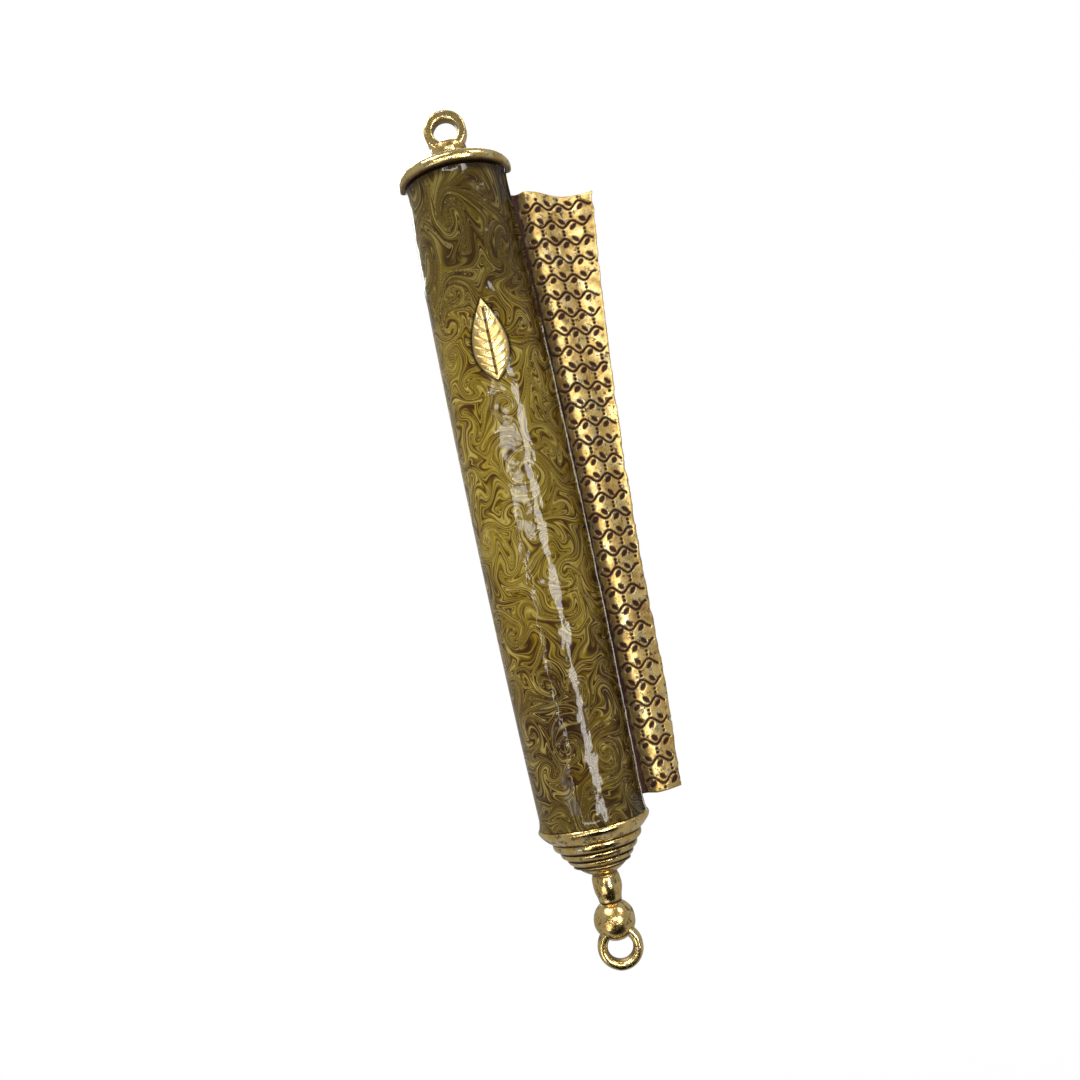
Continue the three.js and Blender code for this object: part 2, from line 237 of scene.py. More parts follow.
class Nodes:
    """A short way to write a node tree."""

    def __init__(self, name):
        self.material = bpy.data.materials.new(name)
        self.material.use_nodes = True
        self.tree = self.material.node_tree
        self.shader = self.tree.nodes["Principled BSDF"]

    def add(self, kind, inputs=None, output=0, **settings):
        node = self.tree.nodes.new("ShaderNode" + kind)
        for key, value in settings.items():
            setattr(node, key, value)
        for key, value in (inputs or {}).items():
            self.set(node.inputs[key], value)
        return node.outputs[output]

    def set(self, socket, value):
        if isinstance(value, bpy.types.NodeSocket):
            self.tree.links.new(value, socket)
        else:
            socket.default_value = value

    def shade(self, **values):
        for key, value in values.items():
            self.set(self.shader.inputs[key.replace("_", " ")], value)

    def attribute(self, name, vector=False):
        return self.add("Attribute", attribute_name=name, output="Vector" if vector else "Fac")

    def place(self, scale=(1, 1, 1)):
        """The piece's own coordinates in millimetres, stretched by a scale."""
        stretch = tuple(k / MM for k in scale)
        coordinates = self.add("TexCoord", output="Object")
        return self.add("Mapping", {"Vector": coordinates, "Scale": stretch})

    def noise(self, where, scale, detail=3, roughness=0.5, distortion=0.0):
        return self.add("TexNoise", {
            "Vector": where, "Scale": scale, "Detail": detail,
            "Roughness": roughness, "Distortion": distortion,
        }, output="Fac")

    def math(self, operation, a, b=0.0, clamp=False):
        return self.add("Math", {0: a, 1: b}, operation=operation, use_clamp=clamp)

    def span(self, value, low, high, to_low=0.0, to_high=1.0):
        return self.add("MapRange", {
            "Value": value, "From Min": low, "From Max": high, "To Min": to_low, "To Max": to_high,
        }, interpolation_type="SMOOTHSTEP")

    def ramp(self, value, *stops, mode="LINEAR"):
        node = self.tree.nodes.new("ShaderNodeValToRGB")
        node.color_ramp.interpolation = mode
        while len(node.color_ramp.elements) < len(stops):
            node.color_ramp.elements.new(0.5)
        for element, (position, colour) in zip(node.color_ramp.elements, stops):
            element.position = position
            element.color = (*linear(colour), 1)
        self.set(node.inputs["Fac"], value)
        return node.outputs["Color"]

    def mix(self, factor, a, b, blend="MIX"):
        node = self.tree.nodes.new("ShaderNodeMix")
        node.data_type = "RGBA"
        node.blend_type = blend
        self.set(node.inputs["Factor"], factor)
        self.set(node.inputs["A"], a)
        self.set(node.inputs["B"], b)
        return node.outputs["Result"]

    def bump(self, height, distance, strength=1.0, under=None):
        inputs = {"Height": height, "Distance": distance * MM, "Strength": strength}
        if under is not None:
            inputs["Normal"] = under
        return self.add("Bump", inputs, output="Normal")


def linear(colour):
    """Linear light from a screen colour."""
    return tuple(c / 12.92 if c <= 0.04045 else ((c + 0.055) / 1.055) ** 2.4 for c in colour)


def tint(colour):
    return (*linear(colour), 1)


def antique_gold(name, pits=1.0, recess=0.6, rough=0.14, stains=0.85):
    """Plated casting: satin gold, pin-holed, with dark brown patina in hollows and where "patina_and_shade"
    says; on the barrel and the wing that attribute also holds painted shade.
    """
    n = Nodes(name)
    at = n.place()
    blotch = n.noise(at, 0.55, 4, 0.6)
    grain = n.noise(at, 5.0, 3, 0.6)
    gold = n.ramp(blotch, (0.3, (0.80, 0.65, 0.37)), (0.5, (0.93, 0.81, 0.52)), (0.72, (0.99, 0.93, 0.72)))
    hollow = n.add("AmbientOcclusion", {"Distance": 0.7 * MM}, output="AO", samples=8)
    hollow = n.span(hollow, 0.35, 0.85, recess, 0.0)
    holes = n.add("TexVoronoi", {"Vector": n.place(), "Scale": 1.5, "Randomness": 1.0}, output="Distance")
    hole_here = n.span(n.noise(at, 0.9, 2), 0.56, 0.7)
    holes = n.math("MULTIPLY", n.span(holes, 0.2, 0.08, 0, 1), hole_here)
    holes = n.math("MULTIPLY", holes, pits)
    stain = n.span(n.noise(at, 1.1, 6, 0.75), 0.5, 0.62, 0, stains)
    marks = n.math("MAXIMUM", hollow, n.math("MAXIMUM", holes, stain))
    dark = n.math("MAXIMUM", n.attribute("patina_and_shade"), marks)
    dark = n.math("ADD", dark, n.math("MULTIPLY", n.math("SUBTRACT", grain, 0.46), 0.4), clamp=True)
    colour = n.mix(dark, gold, tint((0.24, 0.085, 0.01)))
    height = n.math("SUBTRACT", n.math("MULTIPLY", grain, 0.25), holes)
    n.shade(
        Base_Color=colour,
        Metallic=n.span(dark, 0.5, 1.0, 1.0, 0.5),
        Roughness=n.math(
            "ADD", n.span(blotch, 0.3, 0.7, rough + 0.06, rough - 0.04), n.math("MULTIPLY", dark, 0.3)
        ),
        Normal=n.bump(height, 0.06, 0.7, n.bump(blotch, 0.25, 0.35)),
    )
    return n.material


def enamel_pattern(n):
    """The stirred pattern: fine bands, broad body shade, cream threads and dark creases."""
    swirl = n.attribute("swirl", vector=True)

    def streaks(across, along, scale, distortion, detail):
        where = n.add("Mapping", {"Vector": swirl, "Scale": (across, along, 1)})
        return n.add("TexWave", {
            "Vector": where, "Scale": scale, "Distortion": distortion, "Detail": detail,
            "Detail Scale": 1.2, "Detail Roughness": 0.6,
        }, output="Fac", wave_type="BANDS", bands_direction="X")

    broad = streaks(0.9, 0.22, 0.22, 5.0, 3.0)
    fine = streaks(1.0, 0.2, 0.44, 5.0, 2.0)
    finer = streaks(1.0, 0.15, 0.68, 4.0, 2.0)
    clouds = n.noise(n.add("Mapping", {"Vector": swirl, "Scale": (0.5, 0.16, 1)}), 1.0, 4, 0.55)
    apart = n.add("Mapping", {"Vector": swirl, "Scale": (0.9, 0.2, 1), "Location": (7, 3, 0)})
    wisps = n.noise(apart, 1.0, 3, 0.5)
    threads = n.math("MULTIPLY", n.span(fine, 0.66, 1.0, 0, 0.9), n.span(clouds, 0.46, 0.62))
    hairs = n.math("MULTIPLY", n.span(finer, 0.74, 1.0, 0, 0.8), n.span(wisps, 0.5, 0.62))
    strands = n.math("MULTIPLY", n.span(broad, 0.74, 1.0, 0, 0.75), n.span(wisps, 0.46, 0.6))
    threads = n.math("MAXIMUM", n.math("MAXIMUM", threads, hairs), strands)
    creases = n.math("MULTIPLY", n.span(fine, 0.3, 0.0), n.span(wisps, 0.56, 0.4))
    body = n.math("ADD", n.math("MULTIPLY", broad, 0.36), n.math("MULTIPLY", clouds, 0.64))
    # The body is nudged by the tone, which carries painted shade as well as the enamel's own clouds.
    return fine, n.math("ADD", body, n.math("MULTIPLY", n.attribute("tone_and_shade"), 0.09)), threads, creases


def marbled_enamel():
    """Glossy olive enamel. Its stirred coordinates, its tone (with painted shade), its greying (with a
    painted reflection on the left edge) and its painted shade (with a little of the brown patch) are vertex
    attributes.
    """
    n = Nodes("marbled_enamel")
    fine, body, threads, creases = enamel_pattern(n)
    base = n.ramp(
        body,
        (0.28, (0.30, 0.17, 0.0)), (0.4, (0.38, 0.26, 0.0)), (0.5, (0.49, 0.37, 0.0)),
        (0.62, (0.62, 0.50, 0.0)), (0.8, (0.79, 0.69, 0.24)),
    )
    base = n.mix(n.math("MULTIPLY", creases, 0.35), base, tint((0.24, 0.12, 0.0)))
    # Darker brown where the tone is low: the enamel's own brown patch, and painted shade to the right and
    # above and below the middle.
    deep = n.mix(n.span(n.attribute("tone_and_shade"), 0.3, -1.3, 0, 0.72), base, tint((0.23, 0.11, 0.0)))
    cream = n.mix(n.math("MULTIPLY", threads, 0.85), deep, tint((0.91, 0.81, 0.45)))
    # Greyed towards the top and the bottom, and along the left edge as a painted reflection.
    greyed = n.mix(n.attribute("greying_and_reflection"), cream, n.mix(0.42, cream, tint((0.25, 0.21, 0.06))))
    specks = n.add("TexVoronoi", {"Vector": n.place(), "Scale": 0.9, "Randomness": 1.0}, output="Distance")
    specks = n.math("MULTIPLY", n.span(specks, 0.14, 0.05), n.span(n.noise(n.place(), 0.4, 2), 0.6, 0.66))
    # Dark specks, and painted shade round the leaf, under the top collar and to the right.
    dark = n.math("MAXIMUM", n.attribute("shade_and_brown"), specks)
    colour = n.mix(dark, greyed, tint((0.12, 0.045, 0.0)))
    ripple = n.noise(n.place((1, 1, 0.6)), 0.55, 2, 0.5)
    waves = n.bump(ripple, 0.2, 0.6)
    n.shade(
        Base_Color=colour,
        Roughness=n.span(fine, 0.0, 1.0, 0.35, 0.5),
        IOR=1.5,
        Specular_IOR_Level=0.02,
        Coat_Weight=1.0,
        Coat_Roughness=0.09,
        Coat_IOR=1.36,
        Normal=waves,
        Coat_Normal=waves,
    )
    return n.material


def rolled_brass():
    n = Nodes("rolled_brass")
    lines = n.noise(n.place((7, 7, 0.12)), 1.0, 3, 0.7)
    cloud = n.noise(n.place(), 0.12, 4, 0.6)
    spots = n.span(n.noise(n.place(), 0.8, 4, 0.7), 0.62, 0.75, 0, 0.5)
    colour = n.mix(cloud, tint((0.86, 0.73, 0.46)), tint((0.73, 0.58, 0.33)))
    colour = n.mix(spots, colour, tint((0.42, 0.27, 0.12)))
    n.shade(
        Base_Color=colour,
        Metallic=1.0,
        Roughness=n.span(lines, 0.3, 0.7, 0.26, 0.46),
        Normal=n.bump(lines, 0.02, 0.5),
    )
    return n.material


def parchment_skin():
    n = Nodes("parchment_skin")
    fibre = n.noise(n.place((3, 3, 0.8)), 1.2, 4, 0.65)
    mottle = n.noise(n.place(), 0.14, 4, 0.6)
    colour = n.ramp(mottle, (0.3, (0.82, 0.72, 0.53)), (0.55, (0.91, 0.85, 0.69)), (0.8, (0.95, 0.91, 0.79)))
    colour = n.mix(n.span(fibre, 0.45, 0.7, 0, 0.3), colour, tint((0.76, 0.63, 0.43)))
    n.shade(
        Base_Color=colour, Roughness=0.78, Subsurface_Weight=0.12, Subsurface_Scale=0.4 * MM,
        Normal=n.bump(fibre, 0.04, 0.6),
    )
    return n.material


def clear_film():
    n = Nodes("clear_film")
    wrinkle = n.noise(n.place((1, 1, 0.25)), 0.5, 2, 0.5)
    n.shade(
        Base_Color=tint((0.97, 0.985, 0.99)), Roughness=0.06, IOR=1.45, Transmission_Weight=1.0,
        Normal=n.bump(wrinkle, 0.05, 0.4),
    )
    return n.material


def pale_floor():
    """Matt white that thins out to nothing at its rim. What it mirrors into the metal stays dim."""
    n = Nodes("pale_floor")
    seen = n.add("LightPath", output="Is Camera Ray")
    away = n.add("VectorMath", {0: n.add("TexCoord", output="Object")}, output="Value", operation="LENGTH")
    n.shade(
        Base_Color=(0.86, 0.86, 0.86, 1), Roughness=0.9, Emission_Color=(1, 1, 1, 1),
        Emission_Strength=n.math("MULTIPLY", seen, 0.6),
        Alpha=n.span(away, FLOOR_RADIUS, FLOOR_RADIUS * 0.35),
    )
    return n.material


# ---- Barrel ----

def barrel_radius(z):
    below = BARREL_RADIUS - LOSS_BOTTOM * (np.clip(WIDEST_Z - z, 0, None) / (WIDEST_Z - BARREL_BOTTOM)) ** 2
    return below - LOSS_TOP * (np.clip(z - WIDEST_Z, 0, None) / (BARREL_TOP - WIDEST_Z)) ** 3


def barrel_section(z):
    """One closed loop round the half-round channel at a height: outside, rim, back, rebate and cavity."""
    radius = barrel_radius(z)
    outside, inside = radius - ENAMEL_RECESS, radius - ENAMEL_RECESS - WALL
    rebate_x, rebate_depth = PLATE_HIGH[0] + 0.15, -PLATE_LOW[1]
    has_seat = WING_LOW[2] < z < WING_TOP_ROOT
    seat = [(max(math.sqrt(outside**2 - d * d), WING_ROOT_X - 0.02 if has_seat else 0), d)
            for d in np.linspace(RIM_HEIGHT, WING_ROOT_DEPTH - 0.05, 5)]
    turn = np.linspace(math.asin(WING_ROOT_DEPTH / outside), math.pi - math.asin(RIM_HEIGHT / outside), 72)
    front = [(outside * math.cos(a), outside * math.sin(a)) for a in turn]
    rim = [(math.sqrt(radius**2 - d * d), d) for d in np.linspace(0, RIM_HEIGHT - 0.08, 4)]
    rim.append((radius - 0.12, RIM_HEIGHT))
    back_left = [(-x, d) for x, d in reversed(rim)]
    ledge = math.sqrt(inside**2 - rebate_depth**2)
    open_turn = math.asin(rebate_depth / inside)
    cavity_turns = np.linspace(open_turn, math.pi - open_turn, 56)
    cavity = [(-inside * math.cos(a), inside * math.sin(a)) for a in cavity_turns]
    rebate_left = [(-rebate_x, 0), (-rebate_x, rebate_depth), (-ledge - 0.02, rebate_depth)]
    rebate_right = [(-x, d) for x, d in reversed(rebate_left)]
    loop = seat + front + back_left + rebate_left + cavity + rebate_right + rim
    return np.array([(x, -d, z) for x, d in loop])


def make_barrel_body(material):
    edge = 0.02
    heights = np.concatenate([
        [BARREL_BOTTOM, WING_LOW[2] - edge, WING_LOW[2] + edge],
        np.linspace(6, WING_TOP_ROOT - 3, 60),
        [WING_TOP_ROOT - edge, WING_TOP_ROOT + edge, 93.5, 95.0, BARREL_TOP],
    ])
    points, faces = loft_mesh(np.array([barrel_section(z) for z in heights]))
    uneven = 0.03 * noise(points, 1.6, seed=3)
    inner = (np.hypot(points[:, 0], points[:, 1]) < 6.7) & (points[:, 1] < -0.7)
    points = points + np.where(inner, 2.0 * uneven, 0)[:, None] * points * np.array([0.15, 0.15, 0])
    depth = -points[:, 1]
    # Patina inside the channel, and painted shade in the cove under the top collar.
    patina_and_shade = np.where(inner, 0.35, 0.0) + 0.9 * smoothstep(points[:, 2], 94.2, 95.4) * (depth > 0.3)
    # Painted shade: faces in front of the rim (the wall beside the wing, the cove under the top collar and
    # the faces under the enamel) are made fully dark.
    patina_and_shade = patina_and_shade + 1.0 * (depth > RIM_HEIGHT) * ~inner
    piece = build("barrel_body", (points, faces), {"patina_and_shade": np.clip(patina_and_shade, 0, 1)})
    return place(piece, "case", "antique_gold", material, "barrel_shell")


# ---- Enamel ----

def vortices():
    """Where the wet enamel was stirred: centre across and up, reach and turn."""
    random = np.random.default_rng(11)
    found = []
    for row, z in enumerate(np.arange(2.0, 96.0, 3.3)):
        for s in np.arange(-13.0, 13.1, 3.3):
            centre = np.array([s + 1.65 * (row % 2), z]) + random.uniform(-1.1, 1.1, 2)
            reach = random.uniform(1.3, 2.5)
            turn = random.choice([-1, 1]) * random.uniform(2.0, 5.5)
            found.append((centre, reach, turn))
    random.shuffle(found)
    return found


def stirred(across, up):
    """The coordinates that each point of the enamel had before it was stirred."""
    s, z = across.copy(), up.copy()
    place_3d = np.stack([across, up, np.zeros_like(up)], axis=-1)
    s = s + 0.7 * noise(place_3d, 5.0, seed=21)
    z = z + 1.6 * noise(place_3d, 7.0, seed=22)
    for centre, reach, turn in vortices():
        tall = 1.0 + 0.7 * float(smoothstep(centre[1], 70, 85))
        ds, dz = s - centre[0], (z - centre[1]) / tall
        angle = turn * np.exp(-(ds * ds + dz * dz) / reach**2)
        c, k = np.cos(angle), np.sin(angle)
        s, z = centre[0] + c * ds - k * dz, centre[1] + tall * (k * ds + c * dz)
    grown = 1 - 0.4 * smoothstep(up, 66, 82)
    return np.stack([s * grown, 74 + (z - 74) * grown, np.zeros_like(s)], axis=-1)


def enamel_offset(turn, z, place_3d):
    """How far the surface stands from the barrel's true outside: sags, ripples and a run on its left."""
    sags = 0.10 * noise(place_3d * [1, 1, 0.5], 3.4, seed=5)
    ripples = 0.045 * noise(place_3d * [1, 1, 0.65], 1.5, seed=6)
    left = turn - math.pi + 0.45
    run = 0.32 * np.exp(-((left / 0.3) ** 2)) * smoothstep(z, 74, 80) * (1 - smoothstep(z, 80.5, 82.5))
    return sags + ripples + run


def enamel_zones(across, outer, z_high):
    """How light, how grey and how dark each point of the enamel is. The tone has the enamel's own clouds and
    brown patch, a middle band lighter partly by painted light, and painted shade to the right; the greying is
    greyer towards the top and bottom, with a painted reflection along the left edge; the third is painted
    shade round the leaf, under the top collar and to the right, with a little of the brown patch.
    """
    z = outer[..., 2]
    flat = np.stack([across, z, np.zeros_like(z)], axis=-1)
    # A middle band, lighter than above and below: partly the enamel's own cloudiness, partly painted light
    # and shade.
    light = 1.25 * smoothstep(z, 12, 42) * (1 - smoothstep(z, 62, 84))
    tone_and_shade = light - 0.35 + 0.35 * noise(flat, 9.0, seed=31)
    brown = np.exp(-(((across + 2.2 - 0.15 * (z - 17)) / 3.0) ** 2 + ((z - 16) / 6.5) ** 2))
    # The brown patch is the enamel's own colour; the darkening towards the right side is painted shade.
    tone_and_shade = tone_and_shade - 1.6 * brown - 0.9 * smoothstep(across, 5.2, 8.4)
    # Greyer towards the top and the bottom.
    greying_and_reflection = smoothstep(z + 3 * noise(flat, 6.0, seed=32), 72, 82) + 0.8 * (1 - smoothstep(z, 3, 10))
    # A painted reflection: a grey band along the left edge.
    greying_and_reflection = greying_and_reflection + smoothstep(-across, 8.0, 9.5) * 0.5
    # Painted shade round the raised leaf and under the top collar.
    shade_and_brown = emblem_shade(outer) + 0.75 * smoothstep(z, z_high - 1.3, z_high - 0.2)
    # Painted shade towards the right edge, and a little of the brown patch.
    return tone_and_shade, greying_and_reflection, shade_and_brown + 0.45 * smoothstep(across, 6.2, 9.4) + 0.1 * brown


def make_enamel(material):
    step = 6
    rows, columns = step * 112 + 1, step * 28 + 1
    z_low, z_high = BARREL_BOTTOM, BARREL_TOP - 0.35
    z = np.linspace(z_low, z_high, rows)[:, None] * np.ones((1, columns))
    radius = barrel_radius(z)
    right = np.arcsin(ENAMEL_RIGHT_DEPTH / radius)
    left = math.pi - np.arcsin(ENAMEL_LEFT_DEPTH / radius)
    share = np.linspace(0, 1, columns)[None, :]
    turn = right + (left - right) * share
    around = np.stack([radius * np.cos(turn), -radius * np.sin(turn), z], axis=-1)
    across = BARREL_RADIUS * (math.pi / 2 - turn)

    from_right, from_left = (turn - right) * radius, (left - turn) * radius
    roll = 1 - np.clip(from_left / 0.55, 0, 1)
    left_roll = -0.38 * (1 - np.sqrt(1 - roll**2))
    climb = 1 - np.clip(from_right / 0.5, 0, 1)
    meniscus = 0.42 * (1 - np.sqrt(1 - climb**2))
    flare = 0.42 * np.exp(-(z - z_low) / 0.9) + 0.35 * np.exp(-(z_high - z) / 1.1)
    calm = smoothstep(np.minimum(from_right, from_left), 0, 1.0)
    offset = enamel_offset(turn, z, around) * calm + left_roll + meniscus + flare

    def shell(grown):
        return np.stack([grown * np.cos(turn), -grown * np.sin(turn), z], axis=-1)

    outer = shell(radius + offset)
    inner = coarse(shell(radius - ENAMEL_RECESS + 0.02 + 0 * offset), step)
    swirl = stirred(across, z)
    tone_and_shade, greying_and_reflection, shade_and_brown = enamel_zones(across, outer, z_high)

    def flat_values(grid):
        shape = (-1, *grid.shape[2:])
        return np.concatenate([grid.reshape(shape), coarse(grid, step).reshape(shape)])

    values = {
        "swirl": flat_values(swirl),
        "tone_and_shade": flat_values(np.clip(tone_and_shade, -1.5, 1)),
        "greying_and_reflection": flat_values(np.clip(greying_and_reflection, 0, 1)),
        "shade_and_brown": flat_values(np.clip(shade_and_brown, 0, 1)),
    }
    piece = build("enamel_glaze", sheet_mesh(outer, inner, step), values)
    return place(piece, "case", "marbled_enamel", material, "enamel_coat")


# ---- Emblem: a single upright leaf ----

EMBLEM_HALF_WIDTH, EMBLEM_WIDEST_AT = 2.6, 0.32


def leaf_line(t):
    """Heights up the leaf's spine, and its half-width there."""
    foot, tip = EMBLEM_LOW[2], EMBLEM_HIGH[2]
    bulge = foot + (tip - foot) * EMBLEM_WIDEST_AT
    height = (1 - t) ** 2 * foot + 2 * t * (1 - t) * bulge + t**2 * tip
    return height, 4 * EMBLEM_HALF_WIDTH * t * (1 - t)


def on_barrel(x, z, proud):
    """The point at this X and Z, as seen from the front, on a surface this far outside the barrel."""
    grown = barrel_radius(z) + proud
    return np.stack([x, -np.sqrt(np.maximum(grown**2 - x**2, 0)), z], axis=-1)


def make_emblem(material):
    step = 4
    t = np.linspace(0.004, 0.996, step * 48 + 1)[:, None]
    side = np.linspace(-1, 1, step * 20 + 1)[None, :]
    spine, half = leaf_line(t)
    x, z = half * side, spine + 0 * side
    pillow = np.sqrt(1 - np.clip(np.abs(side), 0, 1) ** 4)
    midrib = np.exp(-((x / 0.17) ** 2)) * smoothstep(t, 0.03, 0.12) * (1 - smoothstep(t, 0.88, 0.98))
    phase = (t * 9 - np.abs(side) * 1.1) % 1
    near_vein = np.minimum(phase, 1 - phase)
    veins = np.exp(-((near_vein / 0.11) ** 2)) * (1 - smoothstep(np.abs(side), 0.72, 0.9))
    veins = veins * smoothstep(half, 0.4, 0.9)
    proud = EMBLEM_PROUD * (-0.4 + 1.4 * pillow) - 0.18 * midrib - 0.09 * veins + 0 * z
    outer = on_barrel(x, z, proud)
    inner = coarse(on_barrel(x, z, -0.3 + 0 * proud), step)
    dark = np.clip(0.85 * midrib + 0.5 * veins + 0.5 * (1 - pillow), 0, 1) + 0 * z
    patina_and_shade = np.concatenate([dark.ravel(), coarse(dark, step).ravel()])
    piece = build("leaf_emblem_relief", sheet_mesh(outer, inner, step), {"patina_and_shade": patina_and_shade})
    return place(piece, "case", "antique_gold", material, "leaf_emblem")


def emblem_shade(surface):
    """How dark the painted shade round the raised leaf makes the enamel, from 0 to 1."""
    x, z = surface[..., 0], surface[..., 2]
    heights, halves = leaf_line(np.linspace(0, 1, 60))
    beside = np.maximum(np.abs(x) - np.interp(z, heights, halves), 0)
    beyond = z - np.clip(z, heights[0], heights[-1])
    return 0.9 * (1 - smoothstep(0.85 * np.hypot(beside, beyond), 0.05, 0.42))


# ---- Wing ----

def wing_depth(x, z):
    rise = (x - WING_ROOT_X) / (WING_CROWN_X - WING_ROOT_X)
    rise = np.clip(rise, 0, 1)
    near = WING_ROOT_DEPTH + (WING_CROWN_DEPTH - WING_ROOT_DEPTH) * rise**3 * (rise * (rise * 6 - 15) + 10)
    trough = 1.2 + 0.4 * smoothstep(z, 40, WING_TOP_TIP)
    fall = np.clip((x - WING_CROWN_X) / (WING_TROUGH_X - WING_CROWN_X), 0, 1)
    far = trough + (WING_CROWN_DEPTH - trough) * (1 + np.cos(math.pi * fall)) / 2
    far = far + 0.075 * np.clip(x - WING_TROUGH_X, 0, None) ** 2
    return np.where(x < WING_CROWN_X, near, far)


VINE_PITCH, VINE_WAVE, VINE_SWING = 2.7, 3.1, 0.5
STROKE_RADIUS, STROKE_DEPTH = 0.3, 0.2


def vine_cuts(start, end, row_z, phase, random):
    """A vine as (points, swells): a wavy stem, with a leaf in each hollow and a berry on each crest."""
    across = np.arange(start, end, 0.12)
    swing = VINE_SWING * np.sin(2 * math.pi * (across - start) / VINE_WAVE + phase)
    cuts = [(np.stack([across, row_z + swing], axis=1), np.full(len(across), 0.62))]
    t = np.linspace(0, 1, 10)
    for crest in range(int(2 * (end - start) / VINE_WAVE) + 3):
        x = start + VINE_WAVE * ((crest + 0.5) / 2 - phase / (2 * math.pi))
        lean, length = random.uniform(0.65, 0.9), random.uniform(0.85, 1.05)
        if not start + 0.4 < x < end - 0.3:
            continue
        up = 1 if crest % 2 == 0 else -1
        along = (t - 0.5)[:, None] * length * np.array([math.cos(lean), up * math.sin(lean)])
        cuts.append((np.array([x, row_z - up * 0.42]) + along, 0.4 + 0.75 * np.sin(math.pi * t)))
        cuts.append((np.array([[x, row_z + up * 1.08]]), np.array([0.75])))
    return cuts


def wing_marks(x, z, x_edge):
    """From 0 to 1, how deep each point of the wing lies in a sunk cut."""
    random = np.random.default_rng(7)
    sunk = np.zeros_like(x)
    rows = int((WING_TOP_TIP - WING_LOW[2] - 1.2) / VINE_PITCH) + 1
    for row in range(rows):
        row_z = WING_LOW[2] + 1.6 + row * VINE_PITCH
        end = float(curve_through(x_edge, np.array([row_z]))[0]) - 0.6
        for line, swell in vine_cuts(WING_ROOT_X + 0.8, end, row_z, math.pi * (row % 2), random):
            for (px, pz), radius in zip(line, swell * STROKE_RADIUS):
                rows_near = np.abs(z - pz).min(axis=1) < 0.5
                away = np.hypot(x[rows_near] - px, z[rows_near] - pz)
                mark = 1 - smoothstep(away, radius * 0.55, radius * 1.35)
                sunk[rows_near] = np.maximum(sunk[rows_near], mark)
    return sunk


def make_wing(material):
    step = 6
    rows, columns = step * 124 + 1, step * 16 + 1
    u = np.linspace(0, 1, columns)[None, :]
    v = np.linspace(0, 1, rows)[:, None]
    top = WING_TOP_ROOT + (WING_TOP_TIP - WING_TOP_ROOT) * u - 0.35 * np.sin(math.pi * u)
    z = WING_LOW[2] + v * (top - WING_LOW[2])
    edge = curve_through(WING_EDGE, z)
    along = np.stack([0 * z, 0 * z, z], axis=-1)
    nicks = np.clip(noise(along, 0.9, seed=42) - 0.25, 0, 1)
    ragged = 0.28 * np.abs(noise(along, 2.6, seed=41)) + 0.22 * nicks
    edge = edge - ragged
    x = WING_ROOT_X + u * (edge - WING_ROOT_X)
    tips = 0.12 * noise(np.stack([x, 0 * x, 0 * x], axis=-1), 1.4, seed=43)
    z = z + tips * (smoothstep(v, 0.97, 1.0) - (1 - smoothstep(v, 0.0, 0.03)) * (-1)) * 0.8
    z = np.clip(z, WING_LOW[2], WING_HIGH[2])
    depth = wing_depth(x, z)
    flat = np.stack([x, 0 * x, z], axis=-1)
    depth = depth + 0.07 * noise(flat, 4.0, seed=44) + 0.03 * noise(flat, 1.0, seed=45)
    depth = depth + 0.03 * noise(flat, 0.5, seed=49)
    sunk = wing_marks(x, z, WING_EDGE)
    from_edge = np.minimum.reduce([(edge - x), (z - WING_LOW[2]), (top - z)])
    rounding = 0.22 * (1 - np.sqrt(np.clip(1 - (1 - np.clip(from_edge / 0.3, 0, 1)) ** 2, 0, 1)))
    surface = depth - STROKE_DEPTH * sunk - rounding
    outer = np.stack([x, -surface, z], axis=-1)
    under = wing_depth(x, z) - WING_THICKNESS + 0.05 * noise(flat, 2.4, seed=46)
    inner = coarse(np.stack([x, -under, z], axis=-1), step)
    # Painted shade in the valley where the wing meets the barrel.
    valley_shade = 1 - smoothstep(x, WING_ROOT_X + 0.25, WING_ROOT_X + 1.1)
    mottle = 0.22 + 0.4 * noise(flat, 2.2, seed=47) + 0.45 * noise(flat, 0.7, seed=48)
    # Patina in the cut marks and the mottling, with the painted valley shade.
    patina_and_shade = np.clip(sunk**0.8 + 0.95 * valley_shade + np.clip(mottle, 0, 0.6), 0, 1)
    back = 0.35 + 0 * coarse(patina_and_shade, step)
    values = {"patina_and_shade": np.concatenate([patina_and_shade.ravel(), back.ravel()])}
    piece = build("scroll_wing_engraved", sheet_mesh(outer, inner, step), values, sharp=60)
    return place(piece, "case", "antique_gold", material, "scroll_wing")


# ---- Caps and finials ----

